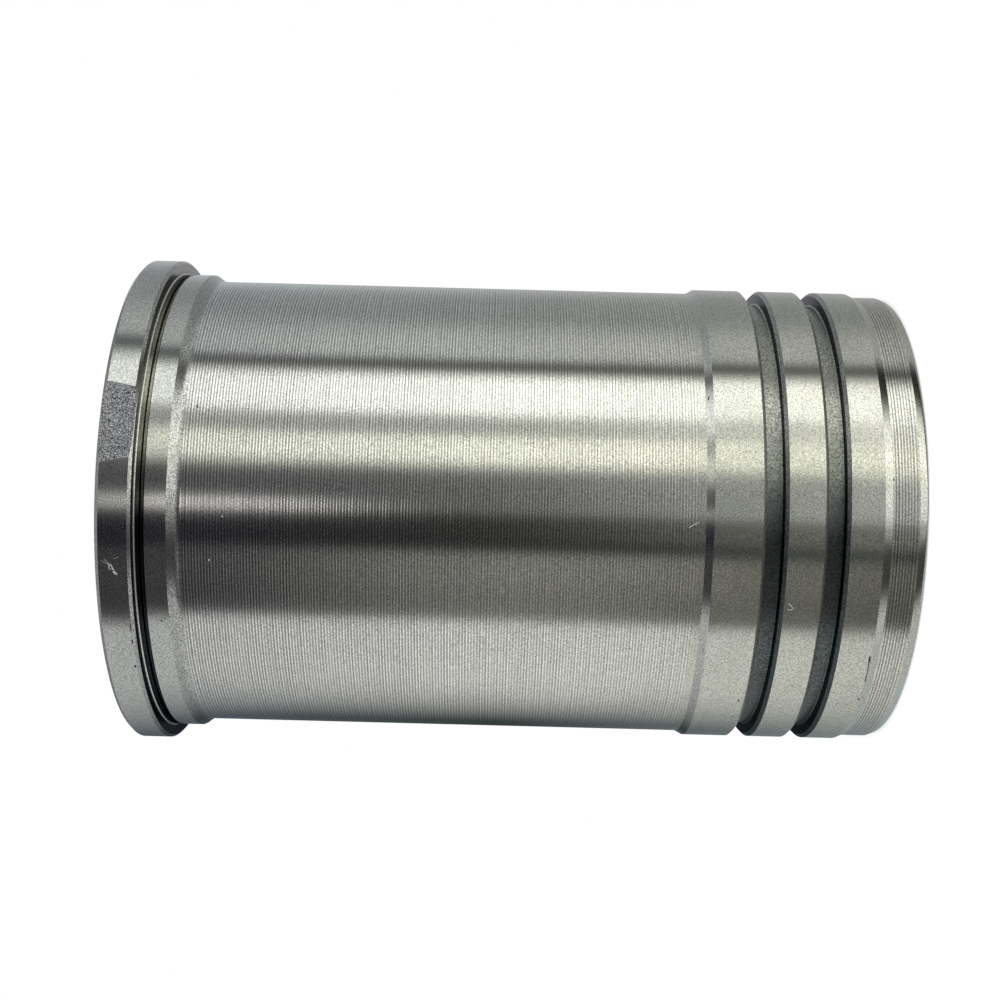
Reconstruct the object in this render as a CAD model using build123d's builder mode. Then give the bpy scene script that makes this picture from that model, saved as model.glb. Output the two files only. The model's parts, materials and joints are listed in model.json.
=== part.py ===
"""Wet cylinder liner: one turned cast-iron sleeve with a flange, a pilot, a turned barrel and two ring grooves.

The sleeve stands on its skirt end with the flange up. Z is the cylinder axis, and the origin is the middle
of the skirt's end face. The outside is a half section of rings, each counted out from the bore by a wall or
a step and along the axis by a width, and it is turned about Z.
"""
import os

from build123d import *

# Sleeve, in millimetres
liner_length = 189.5
bore_diameter = 100.0
bore_top_chamfer = 0.8
bore_skirt_chamfer = 1.5

# Barrel in the cooling water: its wall is counted from the bore
barrel_wall = 7.5

# Upper pilot, which centres the liner in the block: its step is counted from the barrel
pilot_step = 1.6
pilot_length = 5.1
pilot_edge_chamfer = 0.15
pilot_cone_length = 2.1
pilot_foot_radius = 2.0

# Flange at the top, with its seat on the underside: its overhang is counted from the pilot
flange_overhang = 3.4
flange_thickness = 8.2
flange_top_chamfer = 0.95
flange_lower_chamfer = 0.65
seat_ring_width = 1.25
seat_corner_radius = 0.3

# Narrow relief groove between the seat and the pilot
relief_width = 1.0
relief_depth = 1.2
relief_corner_radius = 0.3

# Sealing lands and the two grooves between them: their step is counted from the barrel
land_step = 1.0
land_cone_length = 1.75
upper_land_width = 11.9
middle_land_width = 9.9
lower_land_width = 8.45
ring_groove_width = 4.25
ring_groove_depth = 3.5
ring_groove_edge_chamfer = 0.8
ring_groove_floor_radius = 0.4

# Lead-in below the lands, down to a short cone and a rounded rim at the skirt's end: its drop is counted
# from the lands, and the cone's drop from the lead-in
lead_in_drop = 0.9
lead_in_length = 8.6
lead_in_cone_length = 1.95
skirt_cone_length = 2.4
skirt_cone_drop = 1.0
skirt_rim_radius = 1.5

# Flat ground on the flange rim, a little deeper at the top than at the seat, in millimetres and degrees
flat_depth_top = 0.8
flat_depth_seat = 0.56
flat_bearing = -73.5

# Radii of the half section, from the bore outwards
bore_radius = bore_diameter / 2
barrel_radius = bore_radius + barrel_wall
pilot_radius = barrel_radius + pilot_step
relief_radius = pilot_radius - relief_depth
flange_radius = pilot_radius + flange_overhang
land_radius = barrel_radius + land_step
groove_radius = land_radius - ring_groove_depth
lead_in_radius = land_radius - lead_in_drop

# Heights below the barrel, counted up from the skirt's end
lower_land_foot = lead_in_length + lead_in_cone_length
lower_groove_foot = lower_land_foot + lower_land_width
lower_groove_top = lower_groove_foot + ring_groove_width
upper_groove_foot = lower_groove_top + middle_land_width
upper_groove_top = upper_groove_foot + ring_groove_width
upper_land_top = upper_groove_top + upper_land_width
barrel_foot = upper_land_top + land_cone_length

# Heights above the barrel, counted down from the flange's top face
seat_height = liner_length - flange_thickness
relief_top = seat_height - seat_ring_width
relief_foot = relief_top - relief_width
pilot_foot = relief_foot - pilot_length
barrel_top = pilot_foot - pilot_cone_length

# Corners of the half section, as radius and height, named where an edge is broken later
skirt_bore_corner = (bore_radius, 0)
skirt_rim_corner = (lead_in_radius - skirt_cone_drop, 0)
groove_edges = [
    (land_radius, lower_groove_foot),
    (land_radius, lower_groove_top),
    (land_radius, upper_groove_foot),
    (land_radius, upper_groove_top),
]
groove_floor_corners = [(groove_radius, height) for radius, height in groove_edges]
barrel_top_corner = (barrel_radius, barrel_top)
pilot_edge = (pilot_radius, relief_foot)
relief_floor_corners = [(relief_radius, relief_foot), (relief_radius, relief_top)]
seat_corner = (pilot_radius, seat_height)
flange_lower_corner = (flange_radius, seat_height)
flange_top_corner = (flange_radius, liner_length)
bore_top_corner = (bore_radius, liner_length)

half_section = [
    skirt_bore_corner,
    skirt_rim_corner,
    (lead_in_radius, skirt_cone_length),
    (lead_in_radius, lead_in_length),
    (land_radius, lower_land_foot),
    groove_edges[0],
    groove_floor_corners[0],
    groove_floor_corners[1],
    groove_edges[1],
    groove_edges[2],
    groove_floor_corners[2],
    groove_floor_corners[3],
    groove_edges[3],
    (land_radius, upper_land_top),
    (barrel_radius, barrel_foot),
    barrel_top_corner,
    (pilot_radius, pilot_foot),
    pilot_edge,
    relief_floor_corners[0],
    relief_floor_corners[1],
    (pilot_radius, relief_top),
    seat_corner,
    flange_lower_corner,
    flange_top_corner,
    bore_top_corner,
]


def nearest(vertices, corners):
    """The vertex of a sketch that stands at each of the named corners."""
    return [vertices.sort_by_distance((*corner, 0))[0] for corner in corners]


# Cutter for the flat: a wedge along the flange rim, seen in the plane through the axis and the flat's middle
flat_plane = Plane(origin=(0, 0, 0), x_dir=(1, 0, 0), z_dir=(0, -1, 0)).rotated((0, 0, flat_bearing))
flat_overrun = flange_thickness
flat_slope = (flat_depth_top - flat_depth_seat) / flange_thickness

with BuildPart() as flat_cutter:
    with BuildSketch(flat_plane):
        with BuildLine():
            Polyline(
                (flange_radius - flat_depth_seat, seat_height),
                (flange_radius + flat_overrun, seat_height),
                (flange_radius + flat_overrun, liner_length + flat_overrun),
                (flange_radius - flat_depth_top - flat_slope * flat_overrun, liner_length + flat_overrun),
                close=True,
            )
        make_face()
    extrude(amount=flange_radius, both=True)

with BuildPart() as cylinder_liner:
    with BuildSketch(Plane.XZ) as section:
        with BuildLine():
            Polyline(*half_section, close=True)
        make_face()
        chamfer(nearest(section.vertices(), [skirt_bore_corner]), bore_skirt_chamfer)
        chamfer(nearest(section.vertices(), [bore_top_corner]), bore_top_chamfer)
        fillet(nearest(section.vertices(), [skirt_rim_corner]), skirt_rim_radius)
        chamfer(nearest(section.vertices(), groove_edges), ring_groove_edge_chamfer)
        fillet(nearest(section.vertices(), groove_floor_corners), ring_groove_floor_radius)
        fillet(nearest(section.vertices(), [barrel_top_corner]), pilot_foot_radius)
        chamfer(nearest(section.vertices(), [pilot_edge]), pilot_edge_chamfer)
        fillet(nearest(section.vertices(), relief_floor_corners), relief_corner_radius)
        fillet(nearest(section.vertices(), [seat_corner]), seat_corner_radius)
        chamfer(nearest(section.vertices(), [flange_lower_corner]), flange_lower_chamfer)
        chamfer(nearest(section.vertices(), [flange_top_corner]), flange_top_chamfer)
    revolve(axis=Axis.Z)
    add(flat_cutter.part, mode=Mode.SUBTRACT)

cylinder_liner.part.label = "cylinder_liner"

os.makedirs("parts", exist_ok=True)
export_step(cylinder_liner.part, "parts/cylinder_liner.step")
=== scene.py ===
"""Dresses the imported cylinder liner, one turned cast-iron sleeve, and stands it on its end in a studio.

The sleeve is one closed surface of two parameters. The first runs round its half section: up the outside,
over the flange's top face, down the bore and out across the skirt's end. The second turns about the axis.
"""
import json
import math

import bpy
import numpy as np
from bpy.props import FloatProperty, FloatVectorProperty, IntProperty, PointerProperty
from mathutils import Matrix, Vector


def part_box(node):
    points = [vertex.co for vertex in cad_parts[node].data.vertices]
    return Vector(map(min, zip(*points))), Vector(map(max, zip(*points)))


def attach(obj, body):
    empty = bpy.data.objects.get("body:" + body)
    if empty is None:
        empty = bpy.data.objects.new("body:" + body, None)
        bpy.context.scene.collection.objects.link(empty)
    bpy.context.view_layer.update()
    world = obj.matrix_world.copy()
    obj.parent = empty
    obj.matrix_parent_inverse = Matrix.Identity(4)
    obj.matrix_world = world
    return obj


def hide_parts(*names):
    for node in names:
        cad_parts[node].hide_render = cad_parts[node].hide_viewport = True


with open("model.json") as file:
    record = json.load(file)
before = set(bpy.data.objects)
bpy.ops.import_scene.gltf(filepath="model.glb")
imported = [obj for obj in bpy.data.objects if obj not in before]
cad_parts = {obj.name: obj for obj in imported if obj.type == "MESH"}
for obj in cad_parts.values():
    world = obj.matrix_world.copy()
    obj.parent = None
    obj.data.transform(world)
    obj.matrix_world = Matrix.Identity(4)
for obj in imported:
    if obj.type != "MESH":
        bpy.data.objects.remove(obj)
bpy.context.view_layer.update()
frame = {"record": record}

bl_info = {
    "name": "Cylinder liner",
    "version": (1, 0, 0),
    "blender": (4, 5, 0),
    "location": "View3D > Sidebar > Liner",
    "description": "Builds a turned cast-iron cylinder liner and the studio that it stands in",
    "category": "Object",
}

NODE = "cylinder_liner"
MM_IN_METRE = 1000
CAD_LOW, CAD_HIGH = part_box(NODE)
MOUNT_RADIUS = {
    mount["name"]: mount["dims"]["r_mm"] / MM_IN_METRE
    for mount in frame["record"]["mounts"]
    if "r_mm" in mount.get("dims", {})
}

# Zones of the sleeve, each with a finish of its own; the lower groove walls and the seat have painted shade
LAND, RIM, RIDGED, GROOVE, SHADE_WALL, SEAT, CONE, EDGE, FLAT, BORE, FACE = range(11)


def length(label, description, default):
    """A size in metres."""
    return FloatProperty(name=label, description=description, default=default, unit="LENGTH", precision=5)


def colour(label, description, default):
    """A colour in linear light."""
    return FloatVectorProperty(
        name=label, description=description, default=default, subtype="COLOR", size=3, min=0.0, max=1.0
    )


def share(label, description, default):
    """A number from 0 to 1."""
    return FloatProperty(
        name=label, description=description, default=default, min=0.0, max=1.0, subtype="FACTOR"
    )


def angle_of(label, description, default):
    """An angle, kept in radians."""
    return FloatProperty(name=label, description=description, default=default, subtype="ANGLE")


def count_of(label, description, default, least, most):
    """A whole number between two limits."""
    return IntProperty(name=label, description=description, default=default, min=least, max=most)


class LINER_PG_sizes(bpy.types.PropertyGroup):
    """Sizes of the half section, of its broken edges and of the turned ridges."""

    total_height: length("Height", "From the skirt's end to the flange's top face", CAD_HIGH.z)
    bore_radius: length("Bore radius", "Radius of the honed bore", MOUNT_RADIUS["bore"])
    barrel_radius: length("Barrel radius", "Radius over the ridges of the barrel", 0.0575)
    pilot_radius: length("Pilot radius", "Radius of the upper pilot", MOUNT_RADIUS["upper_pilot"])
    relief_radius: length("Relief radius", "Radius at the floor of the relief groove", 0.0579)
    flange_radius: length("Flange radius", "Radius of the flange rim", CAD_HIGH.x)
    land_radius: length("Land radius", "Radius of the three sealing lands", MOUNT_RADIUS["lower_pilot"])
    groove_radius: length("Groove radius", "Radius at the floors of the two ring grooves", 0.0550)
    lead_in_radius: length("Lead-in radius", "Radius of the lead-in at the skirt", 0.0576)

    lead_in_top: length("Lead-in top", "Height where the lead-in ends", 0.0086)
    lands_foot: length("Lands' foot", "Height where the lowest land begins", 0.01055)
    lower_groove_foot: length("Lower groove", "Height of the lower groove's lower wall", 0.0190)
    upper_groove_foot: length("Upper groove", "Height of the upper groove's lower wall", 0.03315)
    groove_width: length("Groove width", "Width of a ring groove between its walls", 0.00425)
    lands_top: length("Lands' top", "Height where the highest land ends", 0.0493)
    barrel_foot: length("Barrel's foot", "Height where the barrel begins", 0.05105)
    barrel_top: length("Barrel's top", "Height where the barrel meets the pilot's cone", 0.17185)
    pilot_foot: length("Pilot's foot", "Height where the pilot begins", 0.17395)
    relief_foot: length("Relief's foot", "Height of the relief groove's lower wall", 0.17905)
    relief_top: length("Relief's top", "Height of the relief groove's upper wall", 0.18005)
    seat_height: length("Seat", "Height of the flange's seat", 0.1813)

    skirt_cone_top: length("Skirt cone", "Height where the cone at the skirt's end meets the lead-in", 0.0024)
    skirt_cone_drop: length("Skirt cone's drop", "How far the cone at the skirt's end draws in", 0.0010)
    skirt_corner: length("Skirt corner", "Radius round the skirt's outer edge", 0.0015)
    groove_chamfer: length("Groove chamfer", "Chamfer on the edges of the ring grooves", 0.0008)
    groove_corner: length("Groove corner", "Radius in the corners of the ring grooves", 0.0004)
    cone_corner: length("Cone corner", "Radius between the barrel and the pilot's cone", 0.002)
    pilot_chamfer: length("Pilot chamfer", "Chamfer on the pilot's upper edge", 0.00015)
    relief_corner: length("Relief corner", "Radius in the corners of the relief groove and seat", 0.0003)
    seat_chamfer: length("Seat chamfer", "Chamfer on the flange's lower edge", 0.00065)
    rim_chamfer: length("Rim chamfer", "Chamfer on the flange's upper edge", 0.00095)
    bore_top_chamfer: length("Bore's top chamfer", "Chamfer at the bore's upper end", 0.0008)
    bore_foot_chamfer: length("Bore's lower chamfer", "Chamfer at the bore's lower end", 0.0015)

    flat_depth_top: length("Flat's depth, top", "Depth of the flat in the rim at the top face", 0.0008)
    flat_depth_seat: length("Flat's depth, seat", "Depth of the flat in the rim at the seat", 0.00056)
    flat_bearing: angle_of("Flat's bearing", "Direction that the flat faces, from +X", math.radians(-73.5))

    ridge_pitch: length("Ridge pitch", "Distance from one turned ridge to the next", 0.0007)
    ridge_depth: length("Ridge depth", "Depth of the hollow between two ridges", 0.000015)
    ridge_fade: share("Ridge fade", "Depth of the barrel's lowest ridge as a share of its highest", 0.65)
    barrel_ridge_foot: length("Ridges' foot", "Height of the barrel's lowest ridge", 0.0527)
    barrel_ridge_top: length("Ridges' top", "Height of the barrel's highest ridge", 0.1710)
    skirt_ridge_foot: length("Skirt ridges' foot", "Height of the lead-in's lowest ridge", 0.0027)
    skirt_ridge_top: length("Skirt ridges' top", "Height of the lead-in's highest ridge", 0.0083)

    columns: count_of("Columns", "Points round the sleeve", 144, 48, 160)
    flat_columns: count_of("Flat's columns", "Points across the flat", 7, 3, 15)


class LINER_PG_finish(bpy.types.PropertyGroup):
    """Colours and gloss of the iron where it is turned, ridged, grooved, ground and honed."""

    band_colour: colour("Turned bands", "Rim, pilot, lands and lead-in", (0.47, 0.48, 0.46))
    # Ridges: a painted highlight on the crests and painted shade in the hollows
    crest_painted_highlight: colour("Ridge crests", "Painted highlight on the crests of the turned ridges", (0.88, 0.885, 0.86))
    hollow_painted_shade: colour("Ridge hollows", "Painted shade in the hollows between the ridges", (0.235, 0.24, 0.24))
    groove_colour: colour("Ring grooves", "Dull iron in the ring grooves", (0.28, 0.29, 0.28))
    # Painted shade of the ring grooves, which darkens them towards the -X side
    groove_painted_shade: colour("Ring grooves in painted shade", "Ring grooves on the side in painted shade", (0.085, 0.098, 0.104))
    # Lower walls of the ring grooves: near black, as painted shade where the grooves are in shade
    wall_shade_colour: colour("Walls in painted shade", "Lower walls of the ring grooves", (0.015, 0.016, 0.02))
    # Seat, ring under it and relief groove: dark colours of painted shade under the flange, darkest on the -X
    # side
    seat_colour: colour("Seat", "Flange's seat, ring under it and relief groove", (0.24, 0.235, 0.20))
    seat_painted_shade: colour("Seat in painted shade", "Seat, ring and relief groove on the side in painted shade", (0.025, 0.027, 0.035))
    seat_graze: colour("Seat edge on", "Tint of the seat where it is seen edge on", (0.58, 0.58, 0.64))
    wall_shade_graze: colour("Walls edge on", "Tint of the walls in painted shade seen edge on", (0.65, 0.65, 0.7))
    cone_colour: colour("Cones", "Grainy pilot cone and lower edge of the flange", (0.36, 0.37, 0.378))
    edge_colour: colour("Broken edges", "Groove edges and the round under the seat", (0.58, 0.59, 0.57))
    flat_colour: colour("Flat", "Rough ground flat on the rim", (0.235, 0.24, 0.268))
    bore_colour: colour("Bore", "Honed wall of the bore", (0.62, 0.63, 0.61))
    face_colour: colour("End faces", "Faced ends of the flange and the skirt", (0.52, 0.53, 0.51))
    nick_colour: colour("Fresh nicks", "Bright metal in fresh nicks and scratches", (0.92, 0.91, 0.90))
    pit_colour: colour("Pits", "Dark pits and old scratches", (0.05, 0.05, 0.05))
    turned_roughness: share("Turned roughness", "Roughness of the turned bands, ridges and ends", 0.165)
    cone_roughness: share("Cone roughness", "Roughness of the cones and the seat", 0.21)
    groove_roughness: share("Groove roughness", "Roughness of the ring grooves and broken edges", 0.32)
    flat_roughness: share("Flat roughness", "Roughness of the flat", 0.45)
    bore_roughness: share("Bore roughness", "Roughness of the honed bore", 0.34)
    worn_roughness: share("Worn roughness", "Roughness inside nicks, pits and scratches", 0.75)


class LINER_PG_studio(bpy.types.PropertyGroup):
    """Floor, light and camera."""

    floor_colour: colour("Floor", "Pale floor under the sleeve", (0.95, 0.95, 0.95))
    floor_radius: length("Floor radius", "Reach of the floor", 3.0)
    shadow_share: share("Shadow", "How much of the floor's white takes the sleeve's shadow", 0.3)
    shell_radius: length("Shell radius", "Distance of the light cards from the sleeve's middle", 0.6)
    fill_level: share("Fill", "Level of the light from all round", 0.6)
    lamp_power: FloatProperty(
        name="Lamp", description="Power of the lamp over the floor", default=22.0, unit="POWER"
    )
    camera_distance: length("Camera distance", "From the cylinder axis to the camera", 0.398)
    camera_height: length("Camera height", "Height of the camera above the floor", 0.0982)
    camera_side: length("Camera side", "How far the camera stands to the side of the axis", 0.0019)
    camera_roll: angle_of("Camera roll", "Turn of the camera about its line of sight", math.atan(0.02584))
    camera_lens: FloatProperty(
        name="Lens", description="Focal length of the camera", default=53.82, unit="CAMERA", min=1.0
    )


# Stretches of the half section, each as its zone, its rows of radius and height, and its steps. A stretch
# that has steps is a straight run, and its one row is where the run begins

def run(zone, radius, height, steps=1):
    """A straight run that goes on to the next stretch's first row."""
    return zone, np.array([[radius, height]]), steps


def rounded(zone, centre, radius, first, last, steps=5):
    """A round corner: centre + radius * (cosine, sine) of the angles from first and short of last."""
    angle = np.radians(first + (last - first) * np.arange(steps) / steps)
    return zone, np.array(centre) + radius * np.stack([np.cos(angle), np.sin(angle)], axis=1), 0


def joined(stretches):
    """Rows and zones of the closed section that stretches make, of which the last goes on to the first.

    The rows of a run are start + (end - start) * k / steps, for k from 0 and short of steps.
    """
    made = []
    for place, (zone, rows, steps) in enumerate(stretches):
        if steps:
            end = stretches[(place + 1) % len(stretches)][1][0]
            part = np.arange(steps)[:, None] / steps
            rows = rows * (1 - part) + end * part
        made.append((rows, np.full(len(rows), zone)))
    return [np.concatenate(parts) for parts in zip(*made)]


# Ridges: where their rows lie as shares of the pitch, the least and the most depth of one as shares of the
# usual depth, the most wear of a crest as a share of it, how much more painted shade the lead-in's hollows
# get, and the seeds of chance
HOLLOW_STEPS = np.array([0.0, 1 / 3, 2 / 3])
LEAST_DEPTH, MOST_DEPTH = 0.7, 1.3
CREST_WEAR = 0.1
SKIRT_MORE_SHADE = 0.12
BARREL_SEED, SKIRT_SEED = 11, 12

# A row where the section bends by more degrees than this is a crisp edge
CRISP_BEND = 21.0


def ridged(size, radius, foot, top, seed):
    """Rows of turned ridges, three to each: the crest, then two in the hollow above it. Their painted shade
    too.

    A share t of the way from one crest to the next, the hollow is 4 * depth * t * (1 - t) deep. Each ridge
    has a depth of its own, which also grows from the fade at the foot to 1 at the top, and its crest is worn
    down by up to a tenth of the usual depth. The share of painted shade, which darkens the hollows and leaves
    the crests bright, swings about the mean of 4 * t * (1 - t) as far as the ridge is deep.
    """
    depth = size.ridge_depth
    count = round((top - foot) / size.ridge_pitch)
    chance = np.random.default_rng(seed)
    fade = np.linspace(size.ridge_fade, 1.0, count)[:, None]
    own = chance.uniform(LEAST_DEPTH, MOST_DEPTH, (count, 1)) * fade
    worn = CREST_WEAR * depth * chance.uniform(0.0, 1.0, (count, 1)) * (HOLLOW_STEPS == 0)
    height = foot + (top - foot) / count * (np.arange(count)[:, None] + HOLLOW_STEPS)
    fall = 4 * HOLLOW_STEPS * (1 - HOLLOW_STEPS)
    rows = np.stack([radius - worn - own * depth * fall, height], axis=2).reshape(-1, 2)
    hollow_shading = fall.mean() + own * (fall - fall.mean())
    return rows, hollow_shading.ravel()


def ring_groove(size, foot):
    """Stretches of one ring groove, upwards: lower chamfer, wall, rounded floor, wall and upper chamfer."""
    top = foot + size.groove_width
    edge, corner = size.groove_chamfer, size.groove_corner
    land, floor = size.land_radius, size.groove_radius
    return [
        run(GROOVE, land, foot - edge),
        # The lower wall, near black with painted shade
        run(SHADE_WALL, land - edge, foot, 2),
        rounded(GROOVE, (floor + corner, foot + corner), corner, 270, 180),
        run(GROOVE, floor, foot + corner, 3),
        rounded(GROOVE, (floor + corner, top - corner), corner, 180, 90),
        run(GROOVE, floor + corner, top, 2),
        run(EDGE, land - edge, top),
    ]


def half_section(size):
    """The closed half section: its rows, the zone of the band above each row, crisp rows, and painted shade.
    """
    land, barrel, pilot = size.land_radius, size.barrel_radius, size.pilot_radius
    relief, flange, bore = size.relief_radius, size.flange_radius, size.bore_radius
    lead, top, seat = size.lead_in_radius, size.total_height, size.seat_height
    edge, corner = size.groove_chamfer, size.relief_corner
    rim, lower, skirt, cone = size.rim_chamfer, size.seat_chamfer, size.skirt_corner, size.cone_corner
    skirt_slope = math.atan2(size.skirt_cone_drop, size.skirt_cone_top)
    skirt_middle = lead - size.skirt_cone_drop - skirt * math.tan(math.pi / 4 - skirt_slope / 2)
    skirt_foot = (skirt_middle + skirt * math.cos(skirt_slope), skirt - skirt * math.sin(skirt_slope))
    cone_rise = math.atan2(pilot - barrel, size.pilot_foot - size.barrel_top)
    reach = cone * math.tan(cone_rise / 2)
    cone_foot = (barrel + reach * math.sin(cone_rise), size.barrel_top + reach * math.cos(cone_rise))
    turn = math.degrees(cone_rise)
    lower_groove_top = size.lower_groove_foot + size.groove_width
    upper_groove_top = size.upper_groove_foot + size.groove_width
    barrel_ridges, barrel_shading = ridged(
        size, barrel, size.barrel_ridge_foot, size.barrel_ridge_top, BARREL_SEED
    )
    skirt_ridges, skirt_shading = ridged(size, lead, size.skirt_ridge_foot, size.skirt_ridge_top, SKIRT_SEED)
    rows, zones = joined([
        rounded(LAND, (skirt_middle, skirt), skirt, 270, 360 - math.degrees(skirt_slope), 8),
        run(LAND, *skirt_foot),
        run(LAND, lead, size.skirt_cone_top),
        (RIDGED, skirt_ridges, 0),
        run(LAND, lead, size.skirt_ridge_top),
        run(LAND, lead, size.lead_in_top, 2),
        run(LAND, land, size.lands_foot, 3),
        *ring_groove(size, size.lower_groove_foot),
        run(LAND, land, lower_groove_top + edge, 3),
        *ring_groove(size, size.upper_groove_foot),
        run(LAND, land, upper_groove_top + edge, 4),
        run(LAND, land, size.lands_top, 3),
        run(LAND, barrel, size.barrel_foot),
        (RIDGED, barrel_ridges, 0),
        run(LAND, barrel, size.barrel_ridge_top),
        rounded(CONE, (barrel + cone, size.barrel_top - reach), cone, 180, 180 - turn),
        run(CONE, *cone_foot, 3),
        run(RIM, pilot, size.pilot_foot, 3),
        run(RIM, pilot, size.relief_foot - size.pilot_chamfer),
        # The seat, the ring under it and the relief groove take the seat's painted shade
        run(SEAT, pilot - size.pilot_chamfer, size.relief_foot),
        rounded(SEAT, (relief + corner, size.relief_foot + corner), corner, 270, 180),
        run(SEAT, relief, size.relief_foot + corner),
        rounded(SEAT, (relief + corner, size.relief_top - corner), corner, 180, 90),
        run(SEAT, relief + corner, size.relief_top),
        run(SEAT, pilot, size.relief_top),
        rounded(EDGE, (pilot + corner, seat - corner), corner, 180, 90),
        run(SEAT, pilot + corner, seat, 2),
        run(CONE, flange - lower, seat, 5),
        run(RIM, flange, seat + lower, 6),
        run(RIM, flange, top - rim, 8),
        run(FACE, flange - rim, top, 5),
        run(RIM, bore + size.bore_top_chamfer, top, 2),
        run(BORE, bore, top - size.bore_top_chamfer, 16),
        run(LAND, bore, size.bore_foot_chamfer, 2),
        run(FACE, bore + size.bore_foot_chamfer, 0, 3),
    ])
    before = rows - np.roll(rows, 1, axis=0)
    after = np.roll(rows, -1, axis=0) - rows
    bend = np.cross(before, after) / np.linalg.norm(before, axis=1) / np.linalg.norm(after, axis=1)
    crest = np.zeros(len(rows), bool)
    hollow = np.zeros(len(rows))
    # Painted shade in the hollows of the ridges, with more of it on the lead-in
    for ridges, hollow_shading in ((skirt_ridges, skirt_shading + SKIRT_MORE_SHADE), (barrel_ridges, barrel_shading)):
        first = np.flatnonzero((rows == ridges[0]).all(axis=1))[0]
        hollow[first:first + len(ridges)] = hollow_shading
        crest[first:first + len(ridges):len(HOLLOW_STEPS)] = True
    crisp = crest | (np.abs(bend) > math.sin(math.radians(CRISP_BEND)))
    return rows, zones, crisp, hollow


def flat_reach(size, rows):
    """How far the flat lies from the axis at each row, half the angle that it takes, and whether it cuts.

    The flat is a plane. At a height it is d from the axis, and it cuts a ring of radius r where the cosine of
    the angle from its middle is over d / r, so half its angle is the arc cosine of d / r.
    """
    radius, height = rows[:, 0], rows[:, 1]
    climb = (height - size.seat_height) / (size.total_height - size.seat_height)
    depth = size.flat_depth_seat + (size.flat_depth_top - size.flat_depth_seat) * climb
    distance = size.flange_radius - depth
    cut = (climb >= 0) & (radius > distance)
    half = np.arccos(np.clip(distance / np.maximum(radius, distance), 0, 1))
    usual = math.acos(1 - size.flat_depth_seat / size.flange_radius)
    return distance, np.where(cut, half, usual), cut


def sleeve_grid(size):
    """The sleeve's points, rows by columns, with two columns drawn to the flat's edges.

    A point at angle a from the flat's middle has the row's radius r, or d / cos(a) on the flat.
    """
    rows, zones, crisp, hollow = half_section(size)
    distance, half, cut = flat_reach(size, rows)
    inside = np.linspace(-1, 1, size.flat_columns)
    outside = np.arange(1, size.columns - size.flat_columns + 1) / (size.columns - size.flat_columns + 1)
    across = half[:, None] * inside
    around = half[:, None] + (2 * math.pi - 2 * half[:, None]) * outside
    angle = np.concatenate([across, around], axis=1)
    radius = np.repeat(rows[:, :1], size.columns, axis=1)
    on_flat = cut[:, None] & (np.arange(size.columns) < size.flat_columns)
    radius = np.where(on_flat, np.minimum(radius, distance[:, None] / np.cos(angle)), radius)
    bearing = size.flat_bearing + angle
    height = np.repeat(rows[:, 1:], size.columns, axis=1)
    points = np.stack([radius * np.cos(bearing), radius * np.sin(bearing), height], axis=2)
    return points, zones, crisp, hollow, cut


def grid_quads(row_count, column_count, close_rows, close_columns):
    """Corners of every quad of a grid, with its last row or column joined to the first where it closes."""
    row = np.arange(row_count if close_rows else row_count - 1)[:, None]
    column = np.arange(column_count if close_columns else column_count - 1)[None, :]
    next_row, next_column = (row + 1) % row_count, (column + 1) % column_count
    corners = [
        row * column_count + column,
        row * column_count + next_column,
        next_row * column_count + next_column,
        next_row * column_count + column,
    ]
    return np.stack([np.broadcast_to(c, (row.size, column.size)) for c in corners], axis=2).reshape(-1, 4)


def new_mesh(name, points, quads):
    """A mesh object at the origin, from points in metres and the corners of its quads."""
    mesh = bpy.data.meshes.new(name)
    mesh.vertices.add(len(points))
    mesh.vertices.foreach_set("co", points.astype(np.float32).ravel())
    mesh.loops.add(quads.size)
    mesh.loops.foreach_set("vertex_index", quads.astype(np.int32).ravel())
    mesh.polygons.add(len(quads))
    mesh.polygons.foreach_set("loop_start", np.arange(0, quads.size, 4, dtype=np.int32))
    mesh.update(calc_edges=True)
    mesh.shade_smooth()
    piece = bpy.data.objects.new(name, mesh)
    bpy.context.scene.collection.objects.link(piece)
    return piece


# Shader nodes

def put(tree, kind, inputs=None, **options):
    """Adds a node. An input that is given a socket is linked to it, and any other value is set on it."""
    node = tree.nodes.new(kind)
    for option, value in options.items():
        setattr(node, option, value)
    for place, value in (inputs or {}).items():
        if isinstance(value, bpy.types.NodeSocket):
            tree.links.new(value, node.inputs[place])
        else:
            node.inputs[place].default_value = value
    return node


def math_node(tree, operation, *values, clamp=False):
    """The result of one Math node."""
    node = put(tree, "ShaderNodeMath", dict(enumerate(values)), operation=operation, use_clamp=clamp)
    return node.outputs[0]


def vector_node(tree, operation, *values):
    """The vector that one Vector Math node gives."""
    return put(tree, "ShaderNodeVectorMath", dict(enumerate(values)), operation=operation).outputs["Vector"]


def measure_node(tree, operation, *values):
    """The number that one Vector Math node gives."""
    return put(tree, "ShaderNodeVectorMath", dict(enumerate(values)), operation=operation).outputs["Value"]


def scaled(tree, vector, factor):
    """A vector or a colour times a number."""
    inputs = {"Vector": vector, "Scale": factor}
    return put(tree, "ShaderNodeVectorMath", inputs, operation="SCALE").outputs["Vector"]


def map_range(tree, value, low, high, start=0.0, end=1.0):
    """The number that goes from start to end as the value goes from low to high, and is held beyond them."""
    inputs = {"Value": value, "From Min": low, "From Max": high, "To Min": start, "To Max": end}
    return put(tree, "ShaderNodeMapRange", inputs).outputs["Result"]


def noise_node(tree, place, values):
    """Noise over a place, with the values that its inputs are given."""
    return put(tree, "ShaderNodeTexNoise", {"Vector": place, **values}).outputs["Fac"]


def blend_colours(tree, factor, first, second):
    """The colour a factor of the way from the first to the second."""
    inputs = {"Factor": factor, 6: first, 7: second}
    return put(tree, "ShaderNodeMix", inputs, data_type="RGBA").outputs[2]


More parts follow.
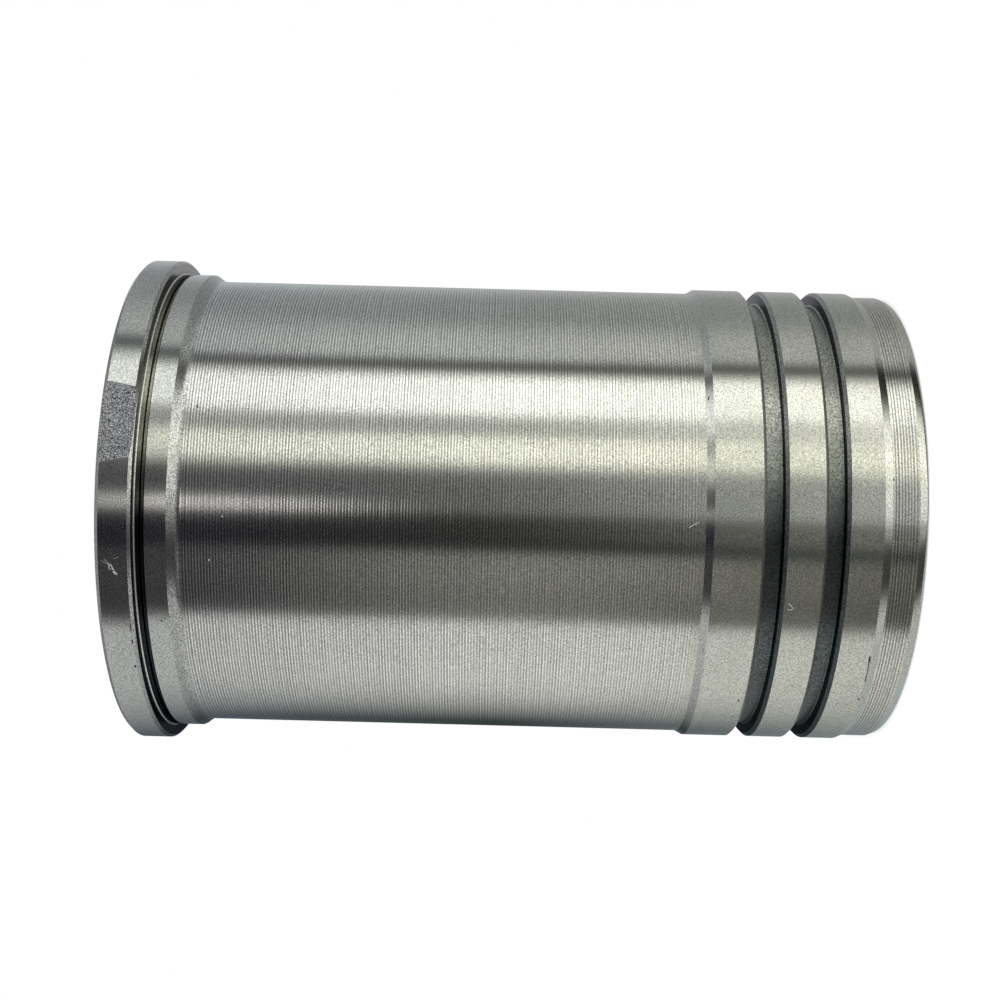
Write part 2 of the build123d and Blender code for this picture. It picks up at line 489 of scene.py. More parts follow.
def mix_shaders(tree, factor, first, second):
    """The node that goes a factor of the way from the first node's shader to the second's."""
    return put(tree, "ShaderNodeMixShader", {0: factor, 1: first.outputs[0], 2: second.outputs[0]})


def opaque(rgb):
    """A property's colour with full alpha."""
    return (*rgb, 1.0)


def empty_material(name):
    """A material that has no nodes yet, and its tree."""
    material = bpy.data.materials.new(name)
    material.use_nodes = True
    material.node_tree.nodes.clear()
    return material, material.node_tree


def shader_group(name, vectors, numbers, outputs):
    """An empty node group with its named sockets, and the sockets inside it."""
    tree = bpy.data.node_groups.new(name, "ShaderNodeTree")
    for labels, kind in ((vectors, "NodeSocketVector"), (numbers, "NodeSocketFloat")):
        for label in labels:
            tree.interface.new_socket(name=label, in_out="INPUT", socket_type=kind)
    for label in outputs:
        tree.interface.new_socket(name=label, in_out="OUTPUT", socket_type="NodeSocketFloat")
    entry = tree.nodes.new("NodeGroupInput")
    leave = tree.nodes.new("NodeGroupOutput")
    return tree, entry.outputs, leave.inputs


# Grain's noise, and its swing: the noise's low and high, and how the shade changes at each
GRAIN_NOISE = {"Scale": 1.0, "Detail": 2.0, "Roughness": 0.6}
GRAIN_SWING = (0.3, 0.7, -1.0, 1.0)

# Wear marks: noise of their ragged edges, the least reach as a share of the width, the solid core as a share
# of the reach, and the least square of a mark's length
RAGGED_NOISE = {"Scale": 4500.0, "Detail": 1.0}
LEAST_REACH = 0.3
MARK_CORE = 0.4
LEAST_SQUARE = 1e-12

# Honing marks: noise cells to a metre, swing as above, turn in radians for each metre of height, and contrast
HATCH_CELLS = (2200.0, 2200.0, 30.0)
HATCH_SWING = (0.3, 0.55, -1.0, 0.6)
HATCH_TWIST, HATCH_CONTRAST = 48.0, 0.16


def put_out(tree, entry, leave, height, swing):
    """Puts out a height as it is, and as a shade: 1 plus the contrast times the swing at that height."""
    change = map_range(tree, height, *swing)
    tree.links.new(math_node(tree, "MULTIPLY_ADD", change, entry["Contrast"], 1.0), leave["Shade"])
    tree.links.new(height, leave["Height"])


def grain_group():
    """Grain, rings or patches: noise over coordinates that are stretched."""
    tree, entry, leave = shader_group("iron_grain", ("Vector", "Stretch"), ("Contrast",), ("Shade", "Height"))
    place = vector_node(tree, "MULTIPLY", entry["Vector"], entry["Stretch"])
    put_out(tree, entry, leave, noise_node(tree, place, GRAIN_NOISE), GRAIN_SWING)
    return tree


def mark_group():
    """A nick, pit or scratch: 1 on the line from Start to End, and 0 about Width away, with a ragged edge.

    The distance from a point p to the line is that from p to start + t * (end - start), with t the share
    (p - start) . (end - start) / |end - start| squared, held between 0 and 1.
    """
    tree, entry, leave = shader_group("surface_mark", ("Vector", "Start", "End"), ("Width",), ("Mask",))
    offset = vector_node(tree, "SUBTRACT", entry["Vector"], entry["Start"])
    line = vector_node(tree, "SUBTRACT", entry["End"], entry["Start"])
    along = measure_node(tree, "DOT_PRODUCT", offset, line)
    whole = math_node(tree, "MAXIMUM", measure_node(tree, "DOT_PRODUCT", line, line), LEAST_SQUARE)
    part = math_node(tree, "DIVIDE", along, whole, clamp=True)
    gap = measure_node(tree, "LENGTH", vector_node(tree, "SUBTRACT", offset, scaled(tree, line, part)))
    ragged = math_node(tree, "ADD", noise_node(tree, entry["Vector"], RAGGED_NOISE), LEAST_REACH)
    reach = math_node(tree, "MULTIPLY", entry["Width"], ragged)
    mask = map_range(tree, gap, reach, math_node(tree, "MULTIPLY", reach, MARK_CORE))
    tree.links.new(mask, leave["Mask"])
    return tree


def hatch_group():
    """Honing marks: noise drawn out along two families of helices, which turn by Twist for each metre up."""
    tree, entry, leave = shader_group("honed_hatch", ("Vector",), ("Twist", "Contrast"), ("Shade", "Height"))
    height = put(tree, "ShaderNodeSeparateXYZ", {"Vector": entry["Vector"]}).outputs["Z"]
    turned = math_node(tree, "MULTIPLY", height, entry["Twist"])
    noises = []
    for side in (1.0, -1.0):
        inputs = {"Vector": entry["Vector"], "Angle": math_node(tree, "MULTIPLY", turned, side)}
        twisted = put(tree, "ShaderNodeVectorRotate", inputs, rotation_type="Z_AXIS").outputs["Vector"]
        place = vector_node(tree, "MULTIPLY", twisted, HATCH_CELLS)
        noises.append(noise_node(tree, place, GRAIN_NOISE))
    put_out(tree, entry, leave, math_node(tree, "MINIMUM", *noises), HATCH_SWING)
    return tree


# Wear marks, each as its name, the radius of the surface in metres, its two ends as bearing from the front in
# degrees towards +X and height in millimetres, and its width in millimetres
MARKS = {
    RIM: {
        "dark": (
            ("rim pit", 0.0625, (-16.2, 184.8), (-16.3, 184.6), 0.22),
            ("seat edge speck", 0.0625, (-27.4, 182.1), (-28.9, 182.15), 0.25),
            ("seat edge speck", 0.0625, (-31.5, 182.15), (-32.3, 182.2), 0.28),
            ("seat edge speck", 0.0625, (-38.5, 182.3), (-39.0, 182.4), 0.36),
            ("pilot pit", 0.0591, (-28.2, 175.75), (-28.4, 175.8), 0.32),
        ),
        "bright": (
            ("rim nick's hair", 0.0625, (-12.9, 187.8), (-13.7, 186.7), 0.07),
            ("rim nick's hair", 0.0625, (-12.7, 187.0), (-13.5, 186.4), 0.10),
            ("rim nick", 0.0625, (-13.5, 186.3), (-14.1, 185.9), 0.24),
            ("rim nick", 0.0625, (-14.3, 186.1), (-14.9, 185.9), 0.20),
            ("rim nick", 0.0625, (-13.8, 185.7), (-14.8, 185.1), 0.24),
            ("rim nick", 0.0625, (-14.7, 185.5), (-15.0, 184.9), 0.22),
            ("rim nick's foot", 0.0625, (-15.4, 185.0), (-15.8, 184.5), 0.46),
            ("rim scratch", 0.0625, (-12.5, 184.9), (-12.2, 183.8), 0.05),
        ),
    },
    LAND: {
        "dark": (
            ("strip mark", 0.0580, (-33.1, 49.8), (-34.0, 49.85), 0.30),
            ("strip mark", 0.0580, (-33.2, 49.3), (-34.0, 49.3), 0.26),
            ("land scratch", 0.0585, (-33.8, 10.8), (-35.0, 10.8), 0.36),
            ("land scratch", 0.0585, (-35.0, 10.75), (-41.6, 10.6), 0.24),
            ("land pit", 0.0585, (-48.3, 10.8), (-48.5, 10.8), 0.40),
            ("land hair", 0.0585, (-50.7, 16.0), (-49.9, 15.0), 0.09),
            ("land hair", 0.0585, (-51.6, 13.9), (-50.3, 12.6), 0.09),
            ("cone spot", 0.0577, (27.2, 50.4), (27.8, 50.35), 0.40),
            ("lead-in pit", 0.0576, (8.7, 8.45), (8.9, 8.5), 0.34),
            ("land speck", 0.0585, (-58.0, 39.7), (-58.4, 39.7), 0.36),
            ("land speck", 0.0585, (-50.0, 39.4), (-50.6, 39.4), 0.30),
        ),
        "bright": (
            ("land curl", 0.0585, (-20.2, 31.3), (-21.3, 30.2), 0.15),
            ("land curl", 0.0585, (-21.3, 30.2), (-21.8, 30.8), 0.15),
            ("land curl", 0.0585, (-21.8, 30.8), (-21.6, 31.5), 0.13),
        ),
    },
    RIDGED: {
        "dark": (
            ("barrel speck", 0.0575, (22.0, 168.6), (22.3, 168.6), 0.40),
        ),
        "bright": (
            ("barrel scratch", 0.0575, (-3.2, 54.9), (-1.9, 52.6), 0.14),
            ("barrel speck", 0.0575, (-13.6, 164.4), (-13.7, 164.4), 0.36),
            ("barrel speck", 0.0575, (-3.4, 161.4), (-3.5, 161.4), 0.28),
        ),
    },
}


def on_surface(radius, place):
    """The point of a ring at a bearing from the front, in degrees towards +X, and a height in millimetres."""
    bearing, height = math.radians(place[0]), place[1] / MM_IN_METRE
    return (radius * math.sin(bearing), -radius * math.cos(bearing), height)


def grain(cells, contrast, bump=0.0):
    """Grain as a texture of a finish: its group, its share of the finish's bump, and its inputs."""
    return "iron_grain", bump, {"Stretch": cells, "Contrast": contrast}


# Noise cells to a metre, along X, Y and Z
FINEST = (5200.0, 5200.0, 5200.0)
FINE = (3200.0, 3200.0, 3200.0)
COARSE = (2000.0, 2000.0, 2000.0)
RINGS = (25.0, 25.0, 4200.0)
PATCHES = (70.0, 70.0, 70.0)

# Textures of each finish, where a grain has its cells, its contrast and its share of the bump
TURNED = (grain(FINE, 0.48, 0.03), grain(RINGS, 0.04, 0.3), grain(PATCHES, 0.04))
TEXTURES = {
    "turned_land": TURNED,
    "turned_rim": TURNED,
    "ridged_wall": (grain(FINE, 0.5, 0.03), grain(PATCHES, 0.04)),
    "ring_groove": (grain(COARSE, 0.55, 1.0), grain(PATCHES, 0.1)),
    "shade_painted_wall": (grain(COARSE, 0.3, 1.0),),
    "shaded_seat": (grain(COARSE, 0.3, 1.0),),
    "grainy_cone": (grain(FINE, 0.75, 0.4),),
    "broken_edge": (grain(COARSE, 0.2, 1.0),),
    "rim_flat": (grain(FINE, 1.0, 0.6), grain(FINEST, 1.0, 0.5)),
    "honed_bore": (
        ("honed_hatch", 1.0, {"Twist": HATCH_TWIST, "Contrast": HATCH_CONTRAST}),
        grain(FINE, 0.06, 0.2),
    ),
    "faced_end": (grain(FINE, 0.14, 0.5), grain(PATCHES, 0.05)),
}

# Heights of the bump in metres, where along X the painted shade on the -X side gives way to the lit colour,
# and how far roughness follows the shade
FINE_BUMP, COARSE_BUMP, GROUND_BUMP = 0.000004, 0.00001, 0.00006
SHADED_SIDE, LIT_SIDE = -0.005, 0.025
ROUGH_SWING = 0.3


class Finish:
    """One iron material in the making: its shade, its height for bump, and the mask of its wear so far."""

    def __init__(self, name, groups):
        self.material, self.tree = empty_material(name)
        self.groups = groups
        self.place = self.tree.nodes.new("ShaderNodeTexCoord").outputs["Object"]
        self.shade = None
        self.height = None
        self.worn = None
        for group, bump, inputs in TEXTURES[name]:
            self.texture(group, bump, inputs)

    def texture(self, group, bump, inputs):
        """Multiplies a group's shade into the finish's, and adds its height, times bump, to the finish's."""
        inputs = {"Vector": self.place, **inputs}
        node = put(self.tree, "ShaderNodeGroup", inputs, node_tree=self.groups[group])
        shade = node.outputs["Shade"]
        self.shade = shade if self.shade is None else math_node(self.tree, "MULTIPLY", self.shade, shade)
        if bump:
            rise = math_node(self.tree, "MULTIPLY", node.outputs["Height"], bump)
            self.height = rise if self.height is None else math_node(self.tree, "ADD", self.height, rise)

    def painted_side_shade(self, shade, lit_rgb):
        """Painted shade: from the shaded colour on the -X side, below the front, to the lit one above it."""
        side = put(self.tree, "ShaderNodeSeparateXYZ", {"Vector": self.place}).outputs["X"]
        part = map_range(self.tree, side, SHADED_SIDE, LIT_SIDE)
        return blend_colours(self.tree, part, opaque(shade), opaque(lit_rgb))

    def wear(self, base, zone, finish):
        """The colour with the zone's wear marks laid over it, whose masks are kept for the roughness."""
        group = self.groups["surface_mark"]
        for kind, tint in (("dark", finish.pit_colour), ("bright", finish.nick_colour)):
            mask = None
            for label, radius, start, end, width in MARKS[zone][kind]:
                inputs = {
                    "Vector": self.place,
                    "Start": on_surface(radius, start),
                    "End": on_surface(radius, end),
                    "Width": width / MM_IN_METRE,
                }
                own = put(self.tree, "ShaderNodeGroup", inputs, node_tree=group, label=label).outputs["Mask"]
                mask = own if mask is None else math_node(self.tree, "MAXIMUM", mask, own)
            base = blend_colours(self.tree, mask, base, opaque(tint))
            self.worn = mask if self.worn is None else math_node(self.tree, "MAXIMUM", self.worn, mask)
        return base

    def shaded(self, rgb):
        """The colour times the finish's shade."""
        return scaled(self.tree, rgb, self.shade)

    def done(self, base, roughness, bump_height, worn_roughness=1.0, graze=None):
        """The material, with the colour, roughness, bump and tint seen edge on joined to its shader."""
        inputs = {"Height": self.height, "Strength": 1.0, "Distance": bump_height}
        normal = put(self.tree, "ShaderNodeBump", inputs).outputs["Normal"]
        slope, level = -ROUGH_SWING * roughness, (1 + ROUGH_SWING) * roughness
        spread = math_node(self.tree, "MULTIPLY_ADD", self.shade, slope, level)
        if self.worn is not None:
            spread = put(self.tree, "ShaderNodeMix", {0: self.worn, 2: spread, 3: worn_roughness}).outputs[0]
        inputs = {"Base Color": base, "Metallic": 1.0, "Roughness": spread, "Normal": normal}
        if graze is not None:
            inputs["Specular Tint"] = opaque(graze)
        shader = put(self.tree, "ShaderNodeBsdfPrincipled", inputs)
        put(self.tree, "ShaderNodeOutputMaterial", {"Surface": shader.outputs["BSDF"]})
        return self.material


def iron_materials(finish):
    """The finishes of the sleeve, in the order of its zones."""
    groups = {"iron_grain": grain_group(), "surface_mark": mark_group(), "honed_hatch": hatch_group()}
    made = []
    for name, zone in (("turned_land", LAND), ("turned_rim", RIM)):
        band = Finish(name, groups)
        base = band.wear(band.shaded(finish.band_colour), zone, finish)
        made.append(band.done(base, finish.turned_roughness, FINE_BUMP, finish.worn_roughness))

    # Ridged wall: painted highlight on the crests and painted shade in the hollows, by the hollow's share
    wall = Finish("ridged_wall", groups)
    hollow = put(wall.tree, "ShaderNodeAttribute", attribute_name="hollow").outputs["Fac"]
    base = blend_colours(wall.tree, hollow, opaque(finish.crest_painted_highlight), opaque(finish.hollow_painted_shade))
    base = wall.wear(wall.shaded(base), RIDGED, finish)
    made.append(wall.done(base, finish.turned_roughness, FINE_BUMP, finish.worn_roughness))

    # Ring grooves, with painted shade towards the -X side
    groove = Finish("ring_groove", groups)
    base = groove.shaded(groove.painted_side_shade(finish.groove_painted_shade, finish.groove_colour))
    made.append(groove.done(base, finish.groove_roughness, COARSE_BUMP))

    # Lower walls of the ring grooves: near black, as painted shade
    shade_wall_finish = Finish("shade_painted_wall", groups)
    base = shade_wall_finish.shaded(finish.wall_shade_colour)
    made.append(shade_wall_finish.done(base, finish.groove_roughness, COARSE_BUMP, graze=finish.wall_shade_graze))

    # Seat, ring under it and relief groove: painted shade under the flange, darker on the -X side
    seat = Finish("shaded_seat", groups)
    base = seat.shaded(seat.painted_side_shade(finish.seat_painted_shade, finish.seat_colour))
    made.append(seat.done(base, finish.cone_roughness, COARSE_BUMP, graze=finish.seat_graze))

    plain_finishes = (
        ("grainy_cone", finish.cone_colour, finish.cone_roughness, COARSE_BUMP),
        ("broken_edge", finish.edge_colour, finish.groove_roughness, COARSE_BUMP),
        ("rim_flat", finish.flat_colour, finish.flat_roughness, GROUND_BUMP),
        ("honed_bore", finish.bore_colour, finish.bore_roughness, FINE_BUMP),
        ("faced_end", finish.face_colour, finish.turned_roughness, FINE_BUMP),
    )
    for name, rgb, roughness, bump_height in plain_finishes:
        plain = Finish(name, groups)
        made.append(plain.done(plain.shaded(rgb), roughness, bump_height))
    return made


class LINER_OT_sleeve(bpy.types.Operator):
    """Build the sleeve with its ridges, its flat and its finishes, in place of the plain solid"""

    bl_idname = "mesh.liner_sleeve"
    bl_label = "Cylinder liner"
    bl_options = {"REGISTER", "UNDO"}

    def execute(self, context):
        size = context.scene.liner_sizes
        points, zones, crisp, hollow, cut = sleeve_grid(size)
        row_count, column_count = points.shape[:2]
        quads = grid_quads(row_count, column_count, True, True)
        piece = new_mesh("liner_sleeve", points.reshape(-1, 3), quads)
        mesh = piece.data
        for material in iron_materials(context.scene.liner_finish):
            mesh.materials.append(material)
        both_cut = cut & np.roll(cut, -1)
        on_flat = both_cut[:, None] & (np.arange(column_count) < size.flat_columns - 1)
        zone = np.where(on_flat, FLAT, zones[:, None])
        mesh.polygons.foreach_set("material_index", zone.astype(np.int32).ravel())
        # The hollows' share of painted shade, for the ridged wall's colour
        depth = mesh.attributes.new("hollow", "FLOAT", "POINT")
        depth.data.foreach_set("value", np.repeat(hollow, column_count).astype(np.float32))
        self.keep_edges_crisp(mesh, column_count, crisp, cut, size.flat_columns)
        if mesh.validate():
            raise RuntimeError("the sleeve's mesh isn't sound")
        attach(piece, "root")
        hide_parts(NODE)
        return {"FINISHED"}

    @staticmethod
    def keep_edges_crisp(mesh, column_count, crisp, cut, flat_columns):
        """Marks as sharp the rings at crisp rows, except where the flat cuts them, and the flat's sides."""
        ends = np.empty(len(mesh.edges) * 2, np.int32)
        mesh.edges.foreach_get("vertices", ends)
        row, column = np.divmod(ends.reshape(-1, 2), column_count)
        along_row = row[:, 0] == row[:, 1]
        on_flat = cut[row[:, 0]] & (column < flat_columns).all(axis=1)
        flat_side = (column[:, 0] == column[:, 1]) & np.isin(column[:, 0], (0, flat_columns - 1))
        sharp = (along_row & crisp[row[:, 0]] & ~on_flat) | (flat_side & cut[row].any(axis=1))
        marks = mesh.attributes.new("sharp_edge", "BOOLEAN", "EDGE")
        marks.data.foreach_set("value", sharp)


# Light cards round the sleeve, in order of bearing from the front, in degrees towards +X.
# Each has the bearing where it begins, the softness of that edge, how far the edge leans at its top and its
# foot, its level, its level above and below the middle as shares of that, and its tint
CARDS = (
    ("lower shade", -200.0, 10.0, 0.0, 0.0, 0.05, 2.3, 4.8, (0.84, 1.0, 1.06)),
    ("table", -118.0, 56.0, 0.0, 0.0, 0.97, 0.78, 0.95, (1.0, 1.0, 0.95)),
    ("front card", -56.0, 7.0, 0.0, 0.0, 0.30, 0.19, 0.68, (1.0, 0.98, 0.90)),
    ("front sheen", -38.0, 16.0, 0.0, 0.0, 0.37, 0.20, 0.70, (1.0, 0.98, 0.90)),
    ("dark card", -21.0, 4.0, 0.0, 0.0, 0.03, 0.7, 2.2, (0.93, 1.05, 1.0)),
    ("dim card", -15.2, 3.0, 0.0, 0.0, 0.042, 0.55, 5.2, (1.0, 0.99, 0.93)),
    ("upper card", -3.2, 3.0, 0.0, 0.0, 0.22, 0.45, 2.7, (0.98, 1.0, 0.97)),
    ("second strip", 19.4, 8.0, 0.0, 0.0, 1.62, 0.80, 0.97, (1.0, 1.0, 0.85)),
    ("gap", 33.5, 4.0, 0.0, 0.0, 0.60, 0.78, 1.9, (1.0, 1.0, 0.92)),
    ("key strip", 44.5, 6.0, 0.0, 0.0, 2.04, 0.76, 0.95, (1.0, 1.0, 0.92)),
    ("dark line", 66.5, 8.0, 12.0, 2.0, 0.02, 2.0, 1.2, (0.92, 1.0, 0.97)),
    ("rear wall", 75.8, 6.0, 24.0, 28.0, 0.76, 0.9, 0.97, (0.98, 1.0, 0.95)),
    ("rear corner", 98.0, 28.0, 12.0, 22.0, 0.42, 1.0, 1.0, (0.97, 1.0, 0.98)),
    ("rear fill", 140.0, 24.0, 12.0, 22.0, 0.52, 1.1, 0.95, (0.97, 1.0, 1.0)),
    ("rear strip", 164.0, 8.0, 8.0, 22.0, 1.05, 1.0, 1.0, (1.0, 1.0, 0.97)),
    ("lower shade", 178.0, 4.0, 0.0, 22.0, 0.05, 2.3, 4.8, (0.84, 1.0, 1.06)),
)

# The elevation at which a card has its upper or lower level, how many times as far its level goes on changing
# below and above, and the least share of its middle level that is left
CARD_TILT = 17.0
LOWEST_TILT, HIGHEST_TILT = -3.0, 1.0
LEAST_SCALE = 0.2

# Steep elevations: where they begin, the span over which edges lean and widen, and how much wider they get
STEEP_FROM, STEEP_SPAN, STEEP_WIDER = 15.0, 35.0, 2

# Faint sky, with the elevation by which it has come up, and the change of tint at a card's upper level
SKY, SKY_SPAN = (0.004, 0.002, 0.014), 25.0
HIGH_TINT = (-0.012, 0.0, 0.025)

# Plain skylight overhead: the elevation where it begins, the span over which it takes over, and its level
SKYLIGHT_FROM, SKYLIGHT_SPAN, SKYLIGHT_LEVEL = 48.0, 24.0, 0.42

# Lowest and highest elevation of the shell that carries the cards, and the step from row to row
SHELL_FOOT, SHELL_TOP, SHELL_STEP = -88, 88, 2.0

# Dark ceiling at the back: the elevation and the bearing where it begins, the spans over which it comes, and
# the share of the light that it takes
CEILING_FROM, CEILING_SPAN = 30.0, 15.0
CEILING_SIDE, CEILING_SIDE_SPAN = 100.0, 25.0
CEILING_SHARE = 0.4

# Slim lamp at the front: its bearing, half its width and the softness of its sides; the elevation where it
# begins and the span over which it comes up to its level; the elevation where it falls off, the span and the
# share that it loses; its level and its tint
SLIM_BEARING, SLIM_HALF, SLIM_SOFT = -1.0, 3.0, 2.5
SLIM_FROM, SLIM_SPAN = 8.0, 8.0
SLIM_FALL_FROM, SLIM_FALL_SPAN, SLIM_FALL = 17.0, 5.0, 0.68
SLIM_LEVEL = 1.5
SLIM_TINT = (1.05, 1.0, 0.95)


def smooth_step(value):
    """0 below 0, 1 above 1, and 3 t squared - 2 t cubed between."""
    part = np.clip(value, 0, 1)
    return part * part * (3 - 2 * part)


def card_light(bearing, elevation):
    """Light of the cards at a bearing and an elevation from the sleeve's middle, in degrees.

    Going round, each card's colour takes over from the last one's by a smooth step across the card's soft
    edge. A card's level goes in proportion to elevation from its middle level towards its upper and its lower
    share. A leaning edge shifts by its lean times the square of s, and all edges widen by twice s, where s is
    how far the elevation, up or down, has gone through the steep span. The light's tint goes in proportion to
    elevation, to a little cooler above and a little warmer below. A faint sky and a slim lamp are added above
    the middle, each by smooth steps of elevation. A dark ceiling takes its share by smooth steps of both
    angles, and a plain skylight takes over overhead.
    """
    tilt = np.clip(elevation / CARD_TILT, LOWEST_TILT, HIGHEST_TILT)
    steep = np.clip((np.abs(elevation) - STEEP_FROM) / STEEP_SPAN, 0, 1)
    light = smooth_step(elevation / SKY_SPAN)[..., None] * np.array(SKY)
    last = np.zeros(3)
    for label, start, soft, lean_above, lean_below, level, above, below, tint in CARDS:
        scale = np.maximum(1 + np.where(tilt > 0, (above - 1) * tilt, (1 - below) * tilt), LEAST_SCALE)
        own = level * scale[..., None] * np.array(tint)
        edge = start + np.where(tilt > 0, lean_above, lean_below) * steep ** 2
        part = smooth_step((bearing - edge) / (soft * (1 + STEEP_WIDER * steep)) + 0.5)
        light = light + (own - last) * part[..., None]
        last = own
    ceiling = smooth_step((elevation - CEILING_FROM) / CEILING_SPAN)
    ceiling = ceiling * smooth_step((bearing - CEILING_SIDE) / CEILING_SIDE_SPAN)
    light = light * (1 - CEILING_SHARE * ceiling[..., None])
    light = light * (1 + np.clip(tilt, -1, 1)[..., None] * np.array(HIGH_TINT))
    skylight = smooth_step((elevation - SKYLIGHT_FROM) / SKYLIGHT_SPAN)[..., None]
    light = light + (SKYLIGHT_LEVEL - light) * skylight
    slim = smooth_step((SLIM_HALF - np.abs(bearing - SLIM_BEARING)) / SLIM_SOFT + 0.5)
    slim = slim * SLIM_LEVEL * smooth_step((elevation - SLIM_FROM) / SLIM_SPAN)
    slim = slim * (1 - SLIM_FALL * smooth_step((elevation - SLIM_FALL_FROM) / SLIM_FALL_SPAN))
    return np.maximum(light + slim[..., None] * np.array(SLIM_TINT), 0)


# Floor: its rings, the points of each, where the first ring lies on the way out, its height in metres, and
# the distances from the axis between which the shadow fades
FLOOR_RINGS, FLOOR_POINTS, FLOOR_START = 24, 96, 0.004
FLOOR_HEIGHT = -0.0001
SHADOW_NEAR, SHADOW_FAR = 0.15, 0.6

# Lamp over the floor, in metres, and camera: the sensor in millimetres and the clipping distances in metres
FLOOR_LAMP_SIZE, FLOOR_LAMP_PLACE = 0.5, (0.0, -0.8, 1.1)
SENSOR_WIDTH, CLIP_NEAR, CLIP_FAR = 36.0, 0.01, 20.0

WHITE = (1.0, 1.0, 1.0, 1.0)


class LINER_OT_studio(bpy.types.Operator):
    """Lay the pale floor, set up the light and stand the camera"""

    bl_idname = "scene.liner_studio"
    bl_label = "Studio"
    bl_options = {"REGISTER", "UNDO"}

    def execute(self, context):
        studio = context.scene.liner_studio
        self.lay_floor(studio)
        self.hang_cards(studio)
        self.set_world(context.scene, studio)
        self.set_lamp(context.scene, studio)
        self.stand_camera(context.scene, studio)
        context.scene.view_settings.view_transform = "Standard"
        return {"FINISHED"}

    @staticmethod
    def background_rays(tree):
        """1 for the rays that see the white background: from the camera, off metal and through glass."""
        path = tree.nodes.new("ShaderNodeLightPath").outputs
        seen = math_node(tree, "MAXIMUM", path["Is Camera Ray"], path["Is Glossy Ray"])
        return math_node(tree, "MAXIMUM", seen, path["Is Transmission Ray"])

    def lay_floor(self, studio):
        """A disc of rings: radius r and angle a to (r cos a, r sin a), just under the skirt's end.

        A ring a share t of the way out has the floor's radius times t squared.
        """
        radius = studio.floor_radius * np.linspace(FLOOR_START, 1.0, FLOOR_RINGS)[:, None] ** 2
        angle = np.linspace(0, 2 * math.pi, FLOOR_POINTS, endpoint=False)[None, :]
        flat = np.full((FLOOR_RINGS, FLOOR_POINTS), FLOOR_HEIGHT)
        points = np.stack([radius * np.cos(angle), radius * np.sin(angle), flat], axis=2).reshape(-1, 3)
        floor = new_mesh("floor", points, grid_quads(FLOOR_RINGS, FLOOR_POINTS, False, True)[:, ::-1])
        material, tree = empty_material("pale_floor")
        reach = measure_node(tree, "LENGTH", tree.nodes.new("ShaderNodeTexCoord").outputs["Object"])
        fade = map_range(tree, reach, SHADOW_NEAR, SHADOW_FAR, studio.shadow_share, 0.0)
        white = put(tree, "ShaderNodeEmission", {"Color": WHITE, "Strength": 1.0})
        matte = put(tree, "ShaderNodeBsdfDiffuse", {"Color": opaque(studio.floor_colour)})
        clear = tree.nodes.new("ShaderNodeBsdfTransparent")
        path = tree.nodes.new("ShaderNodeLightPath").outputs
        through = math_node(tree, "MAXIMUM", path["Is Glossy Ray"], path["Is Transmission Ray"])
        seen = mix_shaders(tree, fade, white, matte)
        lit = mix_shaders(tree, path["Is Camera Ray"], matte, seen)
        shader = mix_shaders(tree, through, lit, clear)
        put(tree, "ShaderNodeOutputMaterial", {"Surface": shader.outputs[0]})
        floor.data.materials.append(material)

    def hang_cards(self, studio):
        """Light cards on part of a sphere: bearing and elevation to a point, which has the cards' light."""
        rows = np.arange(SHELL_FOOT, SHELL_TOP + 1, SHELL_STEP)
        bearing, elevation = np.meshgrid(np.arange(-180.0, 180.0), rows)
        around, up = np.radians(bearing), np.radians(elevation)
        direction = np.stack([np.sin(around) * np.cos(up), -np.cos(around) * np.cos(up), np.sin(up)], axis=2)
        middle = np.array([0, 0, (CAD_LOW.z + CAD_HIGH.z) / 2])
        points = (middle + studio.shell_radius * direction).reshape(-1, 3)
        shell = new_mesh("light_cards", points, grid_quads(*bearing.shape, False, True))
        glow = shell.data.attributes.new("glow", "FLOAT_COLOR", "POINT")
        light = np.concatenate([card_light(bearing, elevation), np.ones(bearing.shape + (1,))], axis=2)
        glow.data.foreach_set("color", light.astype(np.float32).ravel())
        material, tree = empty_material("light_cards")
        material.cycles.emission_sampling = "NONE"
        tint = put(tree, "ShaderNodeAttribute", attribute_name="glow").outputs["Color"]
        emission = put(tree, "ShaderNodeEmission", {"Color": tint, "Strength": 1.0})
        put(tree, "ShaderNodeOutputMaterial", {"Surface": emission.outputs[0]})
        shell.data.materials.append(material)
        shell.visible_camera = False
        shell.visible_diffuse = False
        shell.visible_shadow = False
        shell.visible_transmission = False

    def set_world(self, scene, studio):
        """White for the rays that see the background, and a plain soft fill for the rest."""
        world = bpy.data.worlds.new("studio")
        world.use_nodes = True
        tree = world.node_tree
        tree.nodes.clear()
        fill = (studio.fill_level, studio.fill_level, studio.fill_level, 1.0)
        level = blend_colours(tree, self.background_rays(tree), fill, WHITE)
        background = put(tree, "ShaderNodeBackground", {"Color": level, "Strength": 1.0})
        put(tree, "ShaderNodeOutputWorld", {"Surface": background.outputs[0]})
        scene.world = world

    def set_lamp(self, scene, studio):
        """A soft lamp above the camera, which throws the sleeve's shadow back across the floor."""
        data = bpy.data.lights.new("floor_lamp", "AREA")
        data.energy = studio.lamp_power
        data.size = FLOOR_LAMP_SIZE
        lamp = bpy.data.objects.new("floor_lamp", data)
        lamp.location = FLOOR_LAMP_PLACE
        lamp.rotation_euler = (-Vector(lamp.location)).to_track_quat("-Z", "Y").to_euler()
        lamp.visible_glossy = False
        scene.collection.objects.link(lamp)

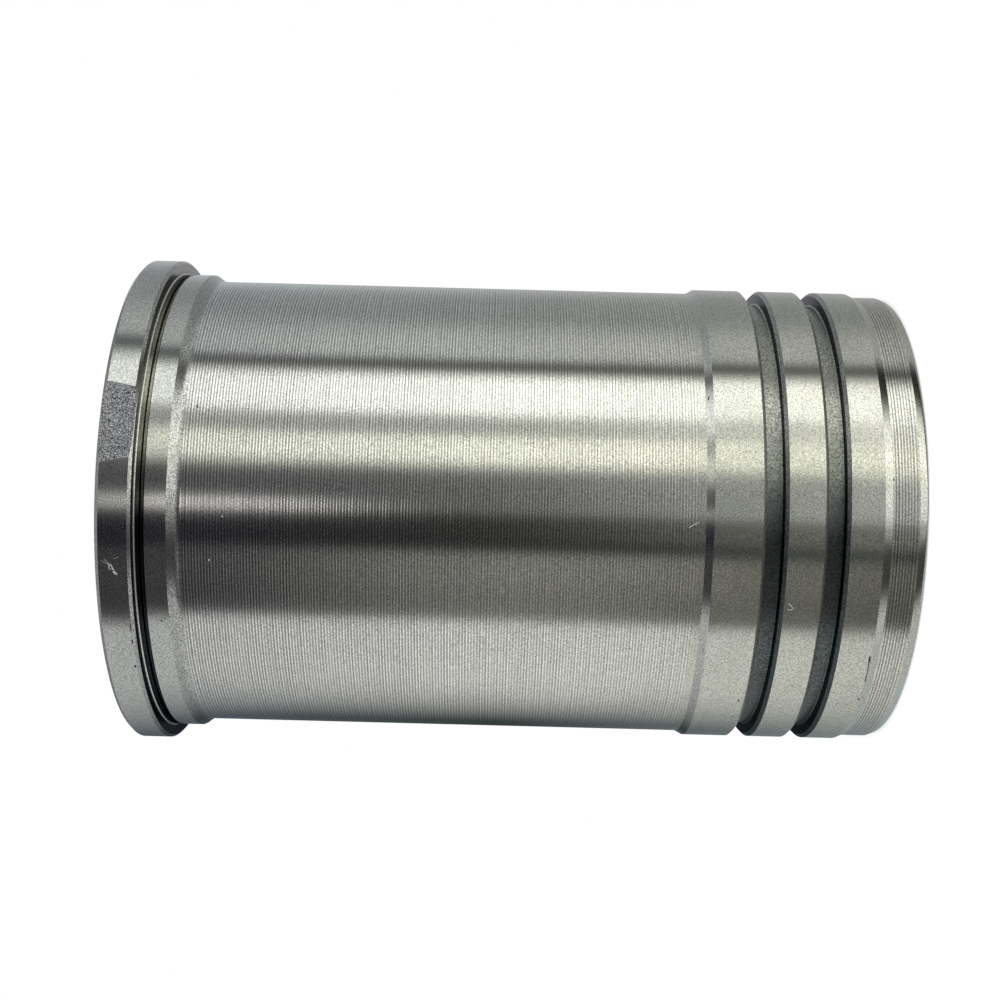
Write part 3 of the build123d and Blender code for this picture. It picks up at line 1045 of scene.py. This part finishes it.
    def stand_camera(self, scene, studio):
        """Looks along +Y, turned about that line so that the flange is on the left and +X is up."""
        data = bpy.data.cameras.new("camera")
        data.lens = studio.camera_lens
        data.sensor_width = SENSOR_WIDTH
        data.clip_start = CLIP_NEAR
        data.clip_end = CLIP_FAR
        camera = bpy.data.objects.new("camera", data)
        turn = studio.camera_roll
        right = Vector((math.sin(turn), 0, -math.cos(turn)))
        above = Vector((math.cos(turn), 0, math.sin(turn)))
        back = Vector((0, -1, 0))
        place = Matrix((right, above, back)).transposed().to_4x4()
        place.translation = (studio.camera_side, -studio.camera_distance, studio.camera_height)
        camera.matrix_world = place
        scene.collection.objects.link(camera)
        scene.camera = camera


class LINER_PT_sidebar(bpy.types.Panel):
    """Sizes, finish and studio of the cylinder liner."""

    bl_idname = "LINER_PT_sidebar"
    bl_label = "Cylinder liner"
    bl_space_type = "VIEW_3D"
    bl_region_type = "UI"
    bl_category = "Liner"

    def draw(self, context):
        layout = self.layout
        for operator in (LINER_OT_sleeve, LINER_OT_studio):
            layout.operator(operator.bl_idname)
        for group in (context.scene.liner_sizes, context.scene.liner_finish, context.scene.liner_studio):
            box = layout.box()
            for label in group.__annotations__:
                box.prop(group, label)


CLASSES = (
    LINER_PG_sizes,
    LINER_PG_finish,
    LINER_PG_studio,
    LINER_OT_sleeve,
    LINER_OT_studio,
    LINER_PT_sidebar,
)


def register():
    """Adds the classes to Blender, and the three groups of properties to the scene."""
    for kind in CLASSES:
        bpy.utils.register_class(kind)
    bpy.types.Scene.liner_sizes = PointerProperty(type=LINER_PG_sizes)
    bpy.types.Scene.liner_finish = PointerProperty(type=LINER_PG_finish)
    bpy.types.Scene.liner_studio = PointerProperty(type=LINER_PG_studio)


def unregister():
    """Takes away what register added."""
    del bpy.types.Scene.liner_studio
    del bpy.types.Scene.liner_finish
    del bpy.types.Scene.liner_sizes
    for kind in reversed(CLASSES):
        bpy.utils.unregister_class(kind)


def main():
    """Builds the sleeve and its studio."""
    register()
    bpy.ops.mesh.liner_sleeve()
    bpy.ops.scene.liner_studio()


if __name__ == "__main__":
    main()
